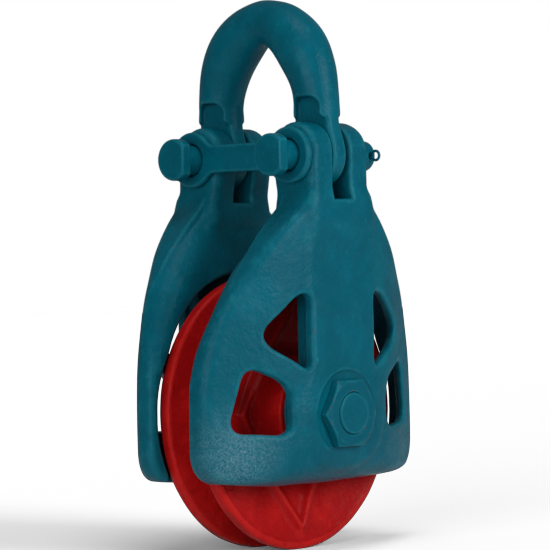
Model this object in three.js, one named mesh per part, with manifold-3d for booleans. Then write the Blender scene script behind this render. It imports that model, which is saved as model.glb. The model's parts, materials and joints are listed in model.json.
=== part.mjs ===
// Single sheave block with a bolted bow shackle.
//
// Two identical cheek castings hang from a round-bar shackle by two headed bolts. A grooved sheave
// turns between them on two taper roller bearings, on a headed centre pin with a nut. A dog-bone
// link plate joins the two bolts on their head side, and a cotter pin locks each bolt's tail.
//
// Millimetres, +Z up. X runs along the shackle bolts (heads at -X) and Y along the centre pin
// (nut at -Y). Parts are drawn around the centre pin, then the block is lowered so that its origin
// is the crown of the shackle, inside the bow, where the load hangs.

import * as THREE from "three";
import * as BufferGeometryUtils from "three/addons/utils/BufferGeometryUtils.js";
import Module from "manifold-3d";

const wasm = await Module();
wasm.setup();

// Fits
const GAP = 0.35;
const ROLLER_GAP = 0.4;
const FAR = 400;

// Sheave
const SHEAVE_RADIUS = 127;
const SHEAVE_HALF_WIDTH = 28.5;
const TREAD_RADIUS = 98;
const GROOVE_RADIUS = 12;
const GROOVE_MOUTH = 17;
const RIM_BEVEL = 1.5;
const WEB_HALF = 13;
const WEB_INNER = 64;
const WEB_RIM = 120.5;
const HUB_RADIUS = 52;
const HUB_HALF = 52;
const RIB_COUNT = 2;
const RIB_TIP = 118;
const RIB_STEM = 9;
const RIB_TIP_HALF = 2;
const RIB_FLARE = 0.62;
const RIB_RISE = 3;

// Bearings, measured outward from the sheave's middle plane
const PIN_RADIUS = 19;
const CONE_BORE = PIN_RADIUS + GAP;
const CONE_START = 17;
const CONE_END = 43;
const CONE_RIB_RADIUS = 29;
const CUP_RADIUS = 40;
const CUP_START = 18;
const CUP_END = 38.5;
const HUB_SHOULDER_RADIUS = 33;
const ROLLER_COUNT = 12;
const ROLLER_PITCH_RADIUS = 29.5;
const ROLLER_STATION = 29.5;
const ROLLER_MEAN_RADIUS = 4.6;
const ROLLER_LENGTH = 17;
const ROLLER_TILT = Math.atan(0.25);
const ROLLER_TAPER = Math.asin((ROLLER_MEAN_RADIUS * Math.sin(ROLLER_TILT)) / ROLLER_PITCH_RADIUS);
const CAGE_THICKNESS = 2;
const CAGE_START = 18.2;
const CAGE_END = 41.2;
const SPACER_RADIUS = 26;
const SEAL_START = 45.5;
const SEAL_END = 51;

// Cheeks
const RIDGE_Y = 87;
const RIDGE_HALF = 28;
const PLATE_DEPTH = 11.5;
const CHEEK_HALF_WIDTH = 143.5;
const CHEEK_LOW = -69;
const LIP_Y = 22;
const LIP_WALL = 9.5;
const CAVITY_RADIUS = 131.75;
const CAVITY_TURN = THREE.MathUtils.degToRad(22.3);
const THROAT_Y = 40;
const BOSS_RADIUS = 51;
const BOSS_Y = 54;
const SPOTFACE_RADIUS = 39;
const SPOTFACE_Y = 86;
const SPINE_HALF = 38.5;
const SPINE_INNER_Y = 61;
const EAR_TOP = 266.5;
const EAR_RADIUS = 27;
const SLOT_HALF = 12;
const SLOT_LOW = 195.5;

// Shackle, its bolts and link plate
const BOLT_Y = 61;
const BOLT_Z = 236;
const BOLT_RADIUS = 14;
const BOLT_HOLE = BOLT_RADIUS + 0.6;
const SHACKLE_X = -3.25;
const BOW_HALF = 60.5;
const BOW_HEIGHT = 77.8;
const BOW_BASE_Z = 284.3;
const BOW_POWER = 1.85;
const BAR_RADIUS = 21.1;
const SHOULDER_SWELL = 4;
const LEG_FOOT_RADIUS = 23.5;
const EYE_RADIUS = 26;
const EYE_HALF = 8.5;
const FLAT_TOP = 289.5;
const FLAT_HALF = 14.5;
const FLAT_SHOULDER = 270;
const CROWN_Z = BOW_BASE_Z + BOW_HEIGHT - BAR_RADIUS;
const PLATE_EYE_RADIUS = 26;
const PLATE_BAR_HALF = 13;
const PLATE_FILLET = 14;
const PLATE_THICKNESS = 7.5;
const HEAD_RADIUS = 19.5;
const HEAD_OUTER = 71;
const HEAD_THICKNESS = 11;
const TAIL_END = 62;
const COTTER_STATION = 55;
const COTTER_WIRE = 1.3;

// Centre pin
const PIN_END = 96.4;
const HEX_FLATS = 60.3;
const NUT_FACE = 95;
const HEAD_FACE = 95.5;
const GREASE_BORE = 3;
const GREASE_RECESS_RADIUS = 8;
const GREASE_RECESS_DEPTH = 5.5;

const TEAL = 0x08485a;
const TEAL_DARK = 0x063f4f;
const RED = 0x8f1714;

const FINISHES = {
  cheek: { color: TEAL, roughness: 0.45, metalness: 0.1 },
  shackle: { color: TEAL_DARK, roughness: 0.45, metalness: 0.1 },
  fastener: { color: TEAL, roughness: 0.5, metalness: 0.15 },
  sheave: { color: RED, roughness: 0.42, metalness: 0.1 },
  cotter: { color: TEAL_DARK, roughness: 0.5, metalness: 0.3 },
  bearing: { color: 0xb9bcc0, roughness: 0.22, metalness: 1 },
  cage: { color: 0x8d8f8f, roughness: 0.4, metalness: 1 },
  spacer: { color: 0x6f7276, roughness: 0.5, metalness: 0.9 },
  seal: { color: 0x17181a, roughness: 0.7, metalness: 0 },
  brass: { color: 0xb28a3e, roughness: 0.35, metalness: 1 },
};

// ---- Geometry helpers ----

// A closed three.js geometry as a solid, whichever way its faces were wound.
function solidOf(geometry) {
  const bare = geometry.clone();
  bare.deleteAttribute("normal");
  bare.deleteAttribute("uv");
  const merged = BufferGeometryUtils.mergeVertices(bare, 1e-4);
  const p = merged.attributes.position;
  const kept = [];
  const a = new THREE.Vector3();
  const b = new THREE.Vector3();
  const c = new THREE.Vector3();
  let volume = 0;
  for (let i = 0; i < merged.index.count; i += 3) {
    const [ia, ib, ic] = [0, 1, 2].map((k) => merged.index.getX(i + k));
    if (ia === ib || ib === ic || ic === ia) continue;
    kept.push([ia, ib, ic]);
    a.fromBufferAttribute(p, ia);
    b.fromBufferAttribute(p, ib);
    c.fromBufferAttribute(p, ic);
    volume += a.dot(b.cross(c));
  }
  const wound = kept.map(([ia, ib, ic]) => (volume > 0 ? [ia, ib, ic] : [ia, ic, ib]));
  return new wasm.Manifold(
    new wasm.Mesh({
      numProp: 3,
      vertProperties: new Float32Array(p.array),
      triVerts: new Uint32Array(wound.flat()),
    }),
  );
}

function geometryOf(solid) {
  const mesh = solid.getMesh();
  const geometry = new THREE.BufferGeometry();
  geometry.setAttribute("position", new THREE.BufferAttribute(new Float32Array(mesh.vertProperties), 3));
  geometry.setIndex(new THREE.BufferAttribute(new Uint32Array(mesh.triVerts), 1));
  geometry.computeVertexNormals();
  return geometry;
}

function extruded(shape, depth, segments) {
  return new THREE.ExtrudeGeometry(shape, { depth, bevelEnabled: false, curveSegments: segments });
}

// A prism along X from an outline in (y, z).
function prismX(shape, low, high, segments = 8) {
  const cycle = new THREE.Matrix4().set(0, 0, 1, low, 1, 0, 0, 0, 0, 1, 0, 0, 0, 0, 0, 1);
  return solidOf(extruded(shape, high - low, segments).applyMatrix4(cycle));
}

// A prism along Y from an outline in (x, z).
function prismY(shape, low, high, segments = 8) {
  const geometry = extruded(shape, high - low, segments);
  return solidOf(geometry.rotateX(Math.PI / 2).translate(0, high, 0));
}

// A prism along Z from an outline in (x, y).
function prismZ(shape, low, high, segments = 8) {
  return solidOf(extruded(shape, high - low, segments).translate(0, 0, low));
}

function box(low, high) {
  const size = high.map((value, i) => value - low[i]);
  const geometry = new THREE.BoxGeometry(...size);
  return solidOf(geometry.translate(...low.map((value, i) => value + size[i] / 2)));
}

function outline(points) {
  return new THREE.Shape(points.map(([u, v]) => new THREE.Vector2(u, v)));
}

// A polygon whose corners are rounded off, each starting `cut` from the corner or, on a short
// edge, just short of the edge's middle.
function roundedOutline(points, cut) {
  const shape = new THREE.Shape();
  const corners = points.map(([u, v]) => new THREE.Vector2(u, v));
  const towards = (corner, next) => {
    const edge = next.clone().sub(corner);
    return corner.clone().add(edge.setLength(Math.min(cut, 0.48 * edge.length())));
  };
  corners.forEach((corner, i) => {
    const start = towards(corner, corners[(i + corners.length - 1) % corners.length]);
    const end = towards(corner, corners[(i + 1) % corners.length]);
    if (i === 0) shape.moveTo(start.x, start.y);
    else shape.lineTo(start.x, start.y);
    shape.quadraticCurveTo(corner.x, corner.y, end.x, end.y);
  });
  shape.closePath();
  return shape;
}

// A body turned about Y from a closed profile of [radius, y] points.
function turnedY(profile, segments) {
  const points = [...profile, profile[0]].map(([r, y]) => new THREE.Vector2(r, y));
  return solidOf(new THREE.LatheGeometry(points, segments));
}

// A body turned about X from a closed profile of [radius, x] points.
function turnedX(profile, segments) {
  const points = [...profile, profile[0]].map(([r, x]) => new THREE.Vector2(r, x));
  return solidOf(new THREE.LatheGeometry(points, segments).rotateZ(-Math.PI / 2));
}

function rod(radius, low, high) {
  return [[0, low], [radius, low], [radius, high], [0, high]];
}

function chamferedRod(radius, low, high, lowChamfer, highChamfer) {
  return [
    [0, low],
    [radius - lowChamfer, low],
    [radius, low + lowChamfer],
    [radius, high - highChamfer],
    [radius - highChamfer, high],
    [0, high],
  ];
}

function tube(inner, outer, low, high) {
  return [[inner, low], [outer, low], [outer, high], [inner, high]];
}

const block = new THREE.Group();

function addPart(name, finish, solid) {
  const material = new THREE.MeshStandardMaterial(FINISHES[finish]);
  const mesh = new THREE.Mesh(geometryOf(solid), material);
  mesh.name = name;
  block.add(mesh);
  return mesh;
}

// ---- Cheek casting ----

// The bell-shaped outline in (x, z).
function cheekOutline() {
  const side = CHEEK_HALF_WIDTH;
  const low = CHEEK_LOW;
  const shape = new THREE.Shape();
  shape.moveTo(0, low);
  shape.quadraticCurveTo(80, low + 0.5, side - 20, low + 11);
  shape.quadraticCurveTo(side - 2, low + 17, side, low + 36);
  shape.lineTo(side, 0);
  shape.bezierCurveTo(side + 0.5, 60, 130, 123, 39, 197);
  shape.lineTo(-39, 197);
  shape.bezierCurveTo(-130, 123, -side - 0.5, 60, -side, 0);
  shape.lineTo(-side, low + 36);
  shape.quadraticCurveTo(2 - side, low + 17, 20 - side, low + 11);
  shape.quadraticCurveTo(-80, low + 0.5, 0, low);
  return shape;
}

// The room for the sheave in (x, z): round, and widened at mid height to leave a thin lip each side.
function cavityOutline() {
  const wall = CHEEK_HALF_WIDTH - LIP_WALL;
  const turnX = CAVITY_RADIUS * Math.cos(CAVITY_TURN);
  const turnZ = CAVITY_RADIUS * Math.sin(CAVITY_TURN);
  const shape = new THREE.Shape();
  shape.absarc(0, 0, CAVITY_RADIUS, -Math.PI / 2, -CAVITY_TURN, false);
  shape.quadraticCurveTo(wall - 1, -28, wall, -5);
  shape.lineTo(wall, 5);
  shape.quadraticCurveTo(wall - 1, 28, turnX, turnZ);
  shape.absarc(0, 0, CAVITY_RADIUS, CAVITY_TURN, Math.PI - CAVITY_TURN, false);
  shape.quadraticCurveTo(1 - wall, 28, -wall, 5);
  shape.lineTo(-wall, -5);
  shape.quadraticCurveTo(1 - wall, -28, -turnX, -turnZ);
  shape.absarc(0, 0, CAVITY_RADIUS, Math.PI + CAVITY_TURN, 1.5 * Math.PI, false);
  return shape;
}

// The face's section in (x, y): a flat ridge that arches over into two sloping sides, `depth`
// below the outer face.
function roofOutline(depth) {
  const ridge = depth - RIDGE_Y;
  const shape = new THREE.Shape();
  shape.moveTo(-160, 0);
  shape.lineTo(-160, ridge + 52.5);
  shape.lineTo(-92, ridge + 17.5);
  shape.quadraticCurveTo(-60, ridge + 1.5, -RIDGE_HALF, ridge);
  shape.lineTo(RIDGE_HALF, ridge);
  shape.quadraticCurveTo(60, ridge + 1.5, 92, ridge + 17.5);
  shape.lineTo(160, ridge + 52.5);
  shape.lineTo(160, 0);
  return shape;
}

// Section in (y, z): the face tucks in below the hub, and the inner edge draws back above it.
function tuckOutline() {
  const shape = new THREE.Shape();
  shape.moveTo(-100, FAR);
  shape.lineTo(-100, -30);
  shape.lineTo(-RIDGE_Y, -38);
  shape.quadraticCurveTo(-72, -62, -44, CHEEK_LOW);
  shape.lineTo(-LIP_Y, CHEEK_LOW);
  shape.lineTo(-LIP_Y, 60);
  shape.lineTo(-30, 131);
  shape.lineTo(-THROAT_Y, 170);
  shape.lineTo(-THROAT_Y, FAR);
  return shape;
}

function hollowTuckOutline() {
  return outline([
    [-90, FAR], [-90, -28], [-76, -33], [-60, -50], [-48, -57], [-48, -120], [0, -120], [0, FAR],
  ]);
}

// The spine and the two ears it grows into, in (y, z).
function spineOutline() {
  const shape = new THREE.Shape();
  const earCentre = EAR_TOP - EAR_RADIUS;
  shape.moveTo(-RIDGE_Y, -20);
  shape.lineTo(-SPINE_INNER_Y, -20);
  shape.lineTo(-SPINE_INNER_Y, 110);
  shape.quadraticCurveTo(-SPINE_INNER_Y, 140, -41, 180);
  shape.lineTo(-33, 232);
  shape.absarc(EAR_RADIUS - RIDGE_Y, earCentre, EAR_RADIUS, 0, Math.PI, false);
  return shape;
}

const UPPER_WINDOW = [[43, 110], [58, 108.5], [91, 77], [86, 64], [43, 39]];
const LOWER_WINDOW = [[65, 28], [106, 47], [121, -13], [64, -17]];

function mirrored(points) {
  return points.map(([x, z]) => [-x, z]);
}

function cheekSolid() {
  const skin = prismY(cheekOutline(), -FAR, 0, 7)
    .intersect(prismZ(roofOutline(0), -FAR, FAR, 4))
    .intersect(prismX(tuckOutline(), -FAR, FAR, 5));
  const hollow = prismY(cavityOutline(), -FAR, 0, 7)
    .intersect(prismZ(roofOutline(PLATE_DEPTH), -FAR, FAR, 4))
    .intersect(prismX(hollowTuckOutline(), -FAR, FAR));
  const spine = prismX(spineOutline(), -SPINE_HALF, SPINE_HALF, 7);
  const boss = turnedY(rod(BOSS_RADIUS, -RIDGE_Y + PLATE_DEPTH / 2, -BOSS_Y), 36)
    .intersect(prismX(tuckOutline(), -FAR, FAR, 5));
  let cheek = skin.subtract(hollow).add(spine).add(boss);
  for (const [points, cut] of [[UPPER_WINDOW, 12], [LOWER_WINDOW, 16]]) {
    for (const side of [points, mirrored(points)]) {
      cheek = cheek.subtract(prismY(roundedOutline(side, cut), -FAR, 0, 3));
    }
  }
  return cheek
    .subtract(box([-SLOT_HALF, -120, SLOT_LOW], [SLOT_HALF, 0, FAR]))
    .subtract(turnedX(rod(BOLT_HOLE, -FAR, FAR), 24).translate([0, -BOLT_Y, BOLT_Z]))
    .subtract(turnedY(rod(PIN_RADIUS + GAP, -FAR, 0), 28))
    .subtract(turnedY(rod(SPOTFACE_RADIUS, -FAR, -SPOTFACE_Y), 32));
}

addPart("front_cheek", "cheek", cheekSolid());
addPart("rear_cheek", "cheek", cheekSolid().rotate([0, 0, 180]));

// ---- Shackle ----

// The bar's centreline and radius, up the rear leg, over the pointed bow and down the front leg.
function barStations(steps) {
  const bow = Array.from({ length: steps + 1 }, (_, i) => {
    const across = Math.cos((i * Math.PI) / steps);
    const up = Math.sin((i * Math.PI) / steps);
    return {
      y: BOW_HALF * Math.sign(across) * Math.abs(across) ** (2 / BOW_POWER),
      z: BOW_BASE_Z + BOW_HEIGHT * Math.abs(up) ** (2 / BOW_POWER),
      radius: BAR_RADIUS + SHOULDER_SWELL * 4 * up ** 2 * across ** 2,
    };
  });
  const foot = (y) => ({ y, z: BOLT_Z, radius: LEG_FOOT_RADIUS });
  return [foot(BOW_HALF), ...bow, foot(-BOW_HALF)];
}

// A round bar swept through the stations, its rings square to the centreline and its ends capped.
function barSolid(stations, segments) {
  const positions = [];
  const faces = [];
  const last = stations.length - 1;
  stations.forEach(({ y, z, radius }, i) => {
    const before = stations[Math.max(i - 1, 0)];
    const after = stations[Math.min(i + 1, last)];
    const along = new THREE.Vector2(after.y - before.y, after.z - before.z).normalize();
    for (let k = 0; k < segments; k += 1) {
      const angle = (2 * Math.PI * k) / segments;
      const out = radius * Math.sin(angle);
      positions.push(radius * Math.cos(angle), y - along.y * out, z + along.x * out);
    }
  });
  for (let i = 0; i < last; i += 1) {
    for (let k = 0; k < segments; k += 1) {
      const a = i * segments + k;
      const b = i * segments + ((k + 1) % segments);
      faces.push(a, b, b + segments, a, b + segments, a + segments);
    }
  }
  for (let k = 1; k < segments - 1; k += 1) {
    const start = last * segments;
    faces.push(0, k + 1, k, start, start + k, start + k + 1);
  }
  const geometry = new THREE.BufferGeometry();
  geometry.setAttribute("position", new THREE.Float32BufferAttribute(positions, 3));
  geometry.setIndex(faces);
  return solidOf(geometry);
}

function shackleSolid() {
  let shackle = barSolid(barStations(28), 20);
  const reach = EYE_RADIUS + 4;
  const flat = roundedOutline(
    [
      [-reach, 150], [reach, 150], [reach, FLAT_SHOULDER], [FLAT_HALF, FLAT_SHOULDER],
      [FLAT_HALF, FLAT_TOP], [-FLAT_HALF, FLAT_TOP], [-FLAT_HALF, FLAT_SHOULDER], [-reach, FLAT_SHOULDER],
    ],
    9,
  );
  for (const side of [-1, 1]) {
    for (const start of [EYE_HALF, -EYE_HALF - 60]) {
      shackle = shackle.subtract(prismX(flat, start, start + 60, 5).translate([0, side * BOW_HALF, 0]));
    }
  }
  for (const side of [-1, 1]) {
    const eye = turnedX(rod(EYE_RADIUS, -EYE_HALF, EYE_HALF), 32);
    const hole = turnedX(rod(BOLT_HOLE, -60, 60), 24);
    shackle = shackle.add(eye.translate([0, side * BOLT_Y, BOLT_Z]));
    shackle = shackle.subtract(hole.translate([0, side * BOLT_Y, BOLT_Z]));
  }
  return shackle.translate([SHACKLE_X, 0, 0]);
}

addPart("shackle", "shackle", shackleSolid());

// ---- Link plate and shackle bolts ----

function linkPlateOutline() {
  const rise = PLATE_BAR_HALF + PLATE_FILLET;
  const reach = PLATE_EYE_RADIUS + PLATE_FILLET;
  const run = Math.sqrt(reach * reach - rise * rise);
  const flare = Math.atan2(rise, run);
  const filletY = BOLT_Y - run;
  const shape = new THREE.Shape();
  shape.moveTo(-filletY, PLATE_BAR_HALF);
  shape.lineTo(filletY, PLATE_BAR_HALF);
  shape.absarc(filletY, rise, PLATE_FILLET, -Math.PI / 2, -flare, false);
  shape.absarc(BOLT_Y, 0, PLATE_EYE_RADIUS, Math.PI - flare, flare - Math.PI, true);
  shape.absarc(filletY, -rise, PLATE_FILLET, flare, Math.PI / 2, false);
  shape.lineTo(-filletY, -PLATE_BAR_HALF);
  shape.absarc(-filletY, -rise, PLATE_FILLET, Math.PI / 2, Math.PI - flare, false);
  shape.absarc(-BOLT_Y, 0, PLATE_EYE_RADIUS, -flare, flare, true);
  shape.absarc(-filletY, rise, PLATE_FILLET, Math.PI + flare, 1.5 * Math.PI, false);
  return shape;
}

function linkPlateSolid() {
  const back = -SPINE_HALF - GAP;
  let plate = prismX(linkPlateOutline(), back - PLATE_THICKNESS, back, 6);
  for (const side of [-1, 1]) {
    plate = plate.subtract(turnedX(rod(BOLT_HOLE, -90, 0), 24).translate([0, side * BOLT_Y, 0]));
  }
  return plate.translate([0, 0, BOLT_Z]);
}

addPart("link_plate", "fastener", linkPlateSolid());

// A bolt along X: a round head with one flat, a plain shank and a cross hole near its tail.
function shackleBoltSolid() {
  const headInner = HEAD_THICKNESS - HEAD_OUTER;
  const profile = [
    [0, -HEAD_OUTER],
    [HEAD_RADIUS - 2.2, -HEAD_OUTER],
    [HEAD_RADIUS, -HEAD_OUTER + 1.6],
    [HEAD_RADIUS, headInner],
    [BOLT_RADIUS, headInner],
    [BOLT_RADIUS, TAIL_END - 1.8],
    [BOLT_RADIUS - 1.6, TAIL_END],
    [0, TAIL_END],
  ];
  return turnedX(profile, 24)
    .subtract(box([-90, -40, -40], [headInner, -BOLT_RADIUS, 40]))
    .subtract(turnedY(rod(2 * COTTER_WIRE + GAP, -40, 40), 12).translate([COTTER_STATION, 0, 0]));
}

addPart("front_shackle_bolt", "fastener", shackleBoltSolid().translate([0, -BOLT_Y, BOLT_Z]));
addPart("rear_shackle_bolt", "fastener", shackleBoltSolid().translate([0, BOLT_Y, BOLT_Z]));

// One wire, doubled back on itself: a leg, a round eye outside the bolt, and the other leg.
class CotterCurve extends THREE.Curve {
  getPoint(t) {
    const half = COTTER_WIRE + 0.1;
    const eyeRadius = 4.3;
    const reach = BOLT_RADIUS + 9;
    const neck = -BOLT_RADIUS - 1.5;
    const opening = Math.asin(half / eyeRadius);
    const centre = neck - eyeRadius * Math.cos(opening);
    const legShare = 0.36;
    const splay = 9;
    const bend = (y) => Math.max(0, y - BOLT_RADIUS - 1) ** 2 / splay / 2;
    const legPoint = (side, y) => new THREE.Vector3(0, y, side * (half + bend(y)));
    if (t < legShare) return legPoint(1, reach + ((neck - reach) * t) / legShare);
    if (t > 1 - legShare) return legPoint(-1, reach + ((neck - reach) * (1 - t)) / legShare);
    const share = (t - legShare) / (1 - 2 * legShare);
    const angle = opening + (2 * Math.PI - 2 * opening) * share;
    return new THREE.Vector3(0, centre + eyeRadius * Math.cos(angle), eyeRadius * Math.sin(angle));
  }
}

function cotterSolid() {
  const section = new THREE.Shape().absarc(0, 0, COTTER_WIRE, 0, 2 * Math.PI, false);
  const wire = new THREE.ExtrudeGeometry(section, {
    extrudePath: new CotterCurve(),
    steps: 34,
    curveSegments: 3,
    bevelEnabled: false,
  });
  return solidOf(wire).translate([COTTER_STATION, 0, BOLT_Z]);
}

addPart("front_cotter_pin", "cotter", cotterSolid().translate([0, -BOLT_Y, 0]));
addPart("rear_cotter_pin", "cotter", cotterSolid().translate([0, BOLT_Y, 0]));

// ---- Centre pin, nut and grease fitting ----

// A hexagonal prism along Y with its outer corners turned off; flats face up and down.
function hexagon(low, high, outerAtLow) {
  const corner = HEX_FLATS / Math.sqrt(3);
  const points = Array.from({ length: 6 }, (_, i) => {
    const angle = (i * Math.PI) / 3;
    return [corner * Math.cos(angle), corner * Math.sin(angle)];
  });
  const chamfer = 2.2;
  const cone = outerAtLow
    ? [[0, low], [HEX_FLATS / 2 - 0.8, low], [corner + 1, low + chamfer], [corner + 1, high], [0, high]]
    : [[0, low], [corner + 1, low], [corner + 1, high - chamfer], [HEX_FLATS / 2 - 0.8, high], [0, high]];
  return prismY(outline(points), low, high).intersect(turnedY(cone, 24));
}

function centrePinSolid() {
  const headInner = SPOTFACE_Y + GAP;
  return turnedY(chamferedRod(PIN_RADIUS, -PIN_END, headInner + 2, 1.2, 0), 28)
    .add(hexagon(headInner, HEAD_FACE, false))
    .subtract(turnedY(rod(GREASE_RECESS_RADIUS, HEAD_FACE - GREASE_RECESS_DEPTH, FAR), 20))
    .subtract(turnedY(rod(GREASE_BORE, -4, FAR), 12))
    .subtract(prismZ(new THREE.Shape().absarc(0, 0, 2.5, 0, 2 * Math.PI, false), 0, 40));
}

addPart("centre_pin", "fastener", centrePinSolid());

const nut = hexagon(-NUT_FACE, -SPOTFACE_Y - GAP, true);
addPart("centre_pin_nut", "fastener", nut.subtract(turnedY(rod(PIN_RADIUS + GAP, -FAR, 0), 28)));

function greaseFittingSolid() {
  const seat = HEAD_FACE - GREASE_RECESS_DEPTH;
  return turnedY(
    [
      [0, seat - 8],
      [GREASE_BORE - GAP, seat - 8],
      [GREASE_BORE - GAP, seat + GAP],
      [4.8, seat + GAP],
      [4.8, seat + 2.2],
      [2.2, seat + 3],
      [3.1, seat + 4.2],
      [2, seat + 5.2],
      [0, seat + 5.2],
    ],
    16,
  );
}

addPart("grease_fitting", "brass", greaseFittingSolid());

// ---- Sheave ----

function grooveProfile() {
  const centre = TREAD_RADIUS + GROOVE_RADIUS;
  const flare = Math.atan2(GROOVE_MOUTH - GROOVE_RADIUS, SHEAVE_RADIUS - centre);
  const points = [[SHEAVE_RADIUS + 20, -GROOVE_MOUTH - 4.5], [SHEAVE_RADIUS, -GROOVE_MOUTH]];
  const steps = 6;
  for (let i = 0; i <= steps; i += 1) {
    const angle = (flare - Math.PI / 2) * (1 - (2 * i) / steps);
    points.push([centre - GROOVE_RADIUS * Math.cos(angle), -GROOVE_RADIUS * Math.sin(angle)]);
  }
  points.sort((p, q) => p[1] - q[1]);
  points.push([SHEAVE_RADIUS, GROOVE_MOUTH], [SHEAVE_RADIUS + 20, GROOVE_MOUTH + 4.5]);
  return points;
}

function sheaveProfile() {
  const half = [
    [HUB_RADIUS - 2, HUB_HALF],
    [HUB_RADIUS, HUB_HALF - 2],
    [HUB_RADIUS + 1, WEB_HALF + 15],
    [HUB_RADIUS + 4, WEB_HALF + 5],
    [WEB_INNER, WEB_HALF],
    [WEB_RIM, SHEAVE_HALF_WIDTH - 2],
    [WEB_RIM + 2, SHEAVE_HALF_WIDTH],
    [SHEAVE_RADIUS - RIM_BEVEL, SHEAVE_HALF_WIDTH],
    [SHEAVE_RADIUS, SHEAVE_HALF_WIDTH - RIM_BEVEL],
  ];
  const lower = half.map(([r, y]) => [r, -y]).reverse();
  return [[0, HUB_HALF], ...half, ...lower, [0, -HUB_HALF]];
}

// Two opposite pointed ribs a side: a short stem at the rim that flares to a broad root at the hub.
function sheaveRibs() {
  const root = HUB_RADIUS - 4;
  const fork = RIB_TIP - RIB_STEM;
  const rootHalf = RIB_TIP_HALF + RIB_FLARE * (fork - root);
  const wedge = roundedOutline(
    [
      [-rootHalf, -root], [rootHalf, -root], [RIB_TIP_HALF, -fork],
      [RIB_TIP_HALF, -RIB_TIP], [-RIB_TIP_HALF, -RIB_TIP], [-RIB_TIP_HALF, -fork],
    ],
    1.5,
  );
  const crest = [
    [0, WEB_HALF + RIB_RISE], [WEB_INNER, WEB_HALF + RIB_RISE], [WEB_RIM, SHEAVE_HALF_WIDTH - 0.5],
    [WEB_RIM, 0.5 - SHEAVE_HALF_WIDTH], [WEB_INNER, -WEB_HALF - RIB_RISE], [0, -WEB_HALF - RIB_RISE],
  ];
  const rib = prismY(wedge, -60, 60, 2);
  let ribs = rib;
  for (let i = 1; i < RIB_COUNT; i += 1) {
    ribs = ribs.add(rib.rotate([0, (i * 360) / RIB_COUNT, 0]));
  }
  return ribs.intersect(turnedY(crest, 24));
}

function sheaveSolid() {
  const bore = [
    [0, -60], [CUP_RADIUS + GAP, -60], [CUP_RADIUS + GAP, GAP - CUP_START],
    [HUB_SHOULDER_RADIUS, GAP - CUP_START], [HUB_SHOULDER_RADIUS, CUP_START - GAP],
    [CUP_RADIUS + GAP, CUP_START - GAP], [CUP_RADIUS + GAP, 60], [0, 60],
  ];
  return turnedY(sheaveProfile(), 48)
    .add(sheaveRibs())
    .subtract(turnedY(grooveProfile(), 48))
    .subtract(turnedY(bore, 32));
}

addPart("sheave", "sheave", sheaveSolid());

// ---- Bearings, seals and spacers ----

// Distance from the pin's axis to a raceway at a station, `offset` to one side of the rollers.
function raceRadius(station, offset) {
  const angle = ROLLER_TILT + Math.sign(offset) * ROLLER_TAPER;
  const touchStation = ROLLER_STATION - offset * Math.sin(ROLLER_TILT);
  const touchRadius = ROLLER_PITCH_RADIUS + offset * Math.cos(ROLLER_TILT);
  return touchRadius + Math.tan(angle) * (station - touchStation);
}

const RACE_OFFSET = ROLLER_MEAN_RADIUS + ROLLER_GAP;

function coneProfile() {
  const raceLow = 21.7;
  const raceHigh = 39.4;
  return [
    [CONE_BORE, CONE_START],
    [24.2, CONE_START],
    [24.2, raceLow],
    [raceRadius(raceLow, -RACE_OFFSET), raceLow],
    [raceRadius(raceHigh, -RACE_OFFSET), raceHigh],
    [CONE_RIB_RADIUS, raceHigh],
    [CONE_RIB_RADIUS, CONE_END],
    [CONE_BORE, CONE_END],
  ];
}

function cupProfile() {
  return [
    [raceRadius(CUP_START, RACE_OFFSET), CUP_START],
    [CUP_RADIUS, CUP_START],
    [CUP_RADIUS, CUP_END],
    [raceRadius(CUP_END, RACE_OFFSET), CUP_END],
  ];
}

function cageProfile() {
  const middle = (station) => raceRadius(station, 0);
  const half = CAGE_THICKNESS / 2;
  return [
    [middle(CAGE_START) - half, CAGE_START],
    [middle(CAGE_START) + half, CAGE_START],
    [middle(CAGE_END) + half, CAGE_END],
    [middle(CAGE_END) - half, CAGE_END],
  ];
}

// A tapered roller in place at one angle round the pin, grown by `grow` for its cage pocket.
function rollerSolid(angle, grow) {
  const half = ROLLER_LENGTH / 2 + grow;
  const spread = Math.tan(ROLLER_TAPER) * half;
  const profile = [
    [0, -half],
    [ROLLER_MEAN_RADIUS - spread + grow, -half],
    [ROLLER_MEAN_RADIUS + spread + grow, half],
    [0, half],
  ];
  const tiltDegrees = THREE.MathUtils.radToDeg(ROLLER_TILT);
  return turnedY(profile, 8)
    .rotate([0, 0, -tiltDegrees])
    .translate([ROLLER_PITCH_RADIUS, ROLLER_STATION, 0])
    .rotate([0, angle, 0]);
}

const SEAL_PROFILE = [
  [SPACER_RADIUS + 0.5, SEAL_START + 1.2],
  [SPACER_RADIUS + 3.5, SEAL_START],
  [CUP_RADIUS, SEAL_START],
  [CUP_RADIUS, SEAL_END],
  [SPACER_RADIUS + 2, SEAL_END],
  [SPACER_RADIUS + 0.5, SEAL_END - 1.2],
];

// Everything below is drawn at +Y; the front set is the same set turned half round.
for (const [place, turn] of [["front", 180], ["rear", 0]]) {
  const placed = (solid) => solid.rotate([0, 0, turn]);
  addPart(`${place}_bearing_cup`, "bearing", placed(turnedY(cupProfile(), 32)));
  addPart(`${place}_bearing_cone`, "bearing", placed(turnedY(coneProfile(), 28)));
  let cage = turnedY(cageProfile(), 24);
  for (let i = 0; i < ROLLER_COUNT; i += 1) {
    const angle = (i * 360) / ROLLER_COUNT;
    cage = cage.subtract(rollerSolid(angle, GAP));
    const number = String(i + 1).padStart(2, "0");
    addPart(`${place}_roller_${number}`, "bearing", placed(rollerSolid(angle, 0)));
  }
  addPart(`${place}_bearing_cage`, "cage", placed(cage));
  addPart(`${place}_seal`, "seal", placed(turnedY(SEAL_PROFILE, 28)));
  const spacer = turnedY(tube(CONE_BORE, SPACER_RADIUS, CONE_END + GAP, BOSS_Y - GAP), 28);
  addPart(`${place}_side_spacer`, "spacer", placed(spacer));
}

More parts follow.
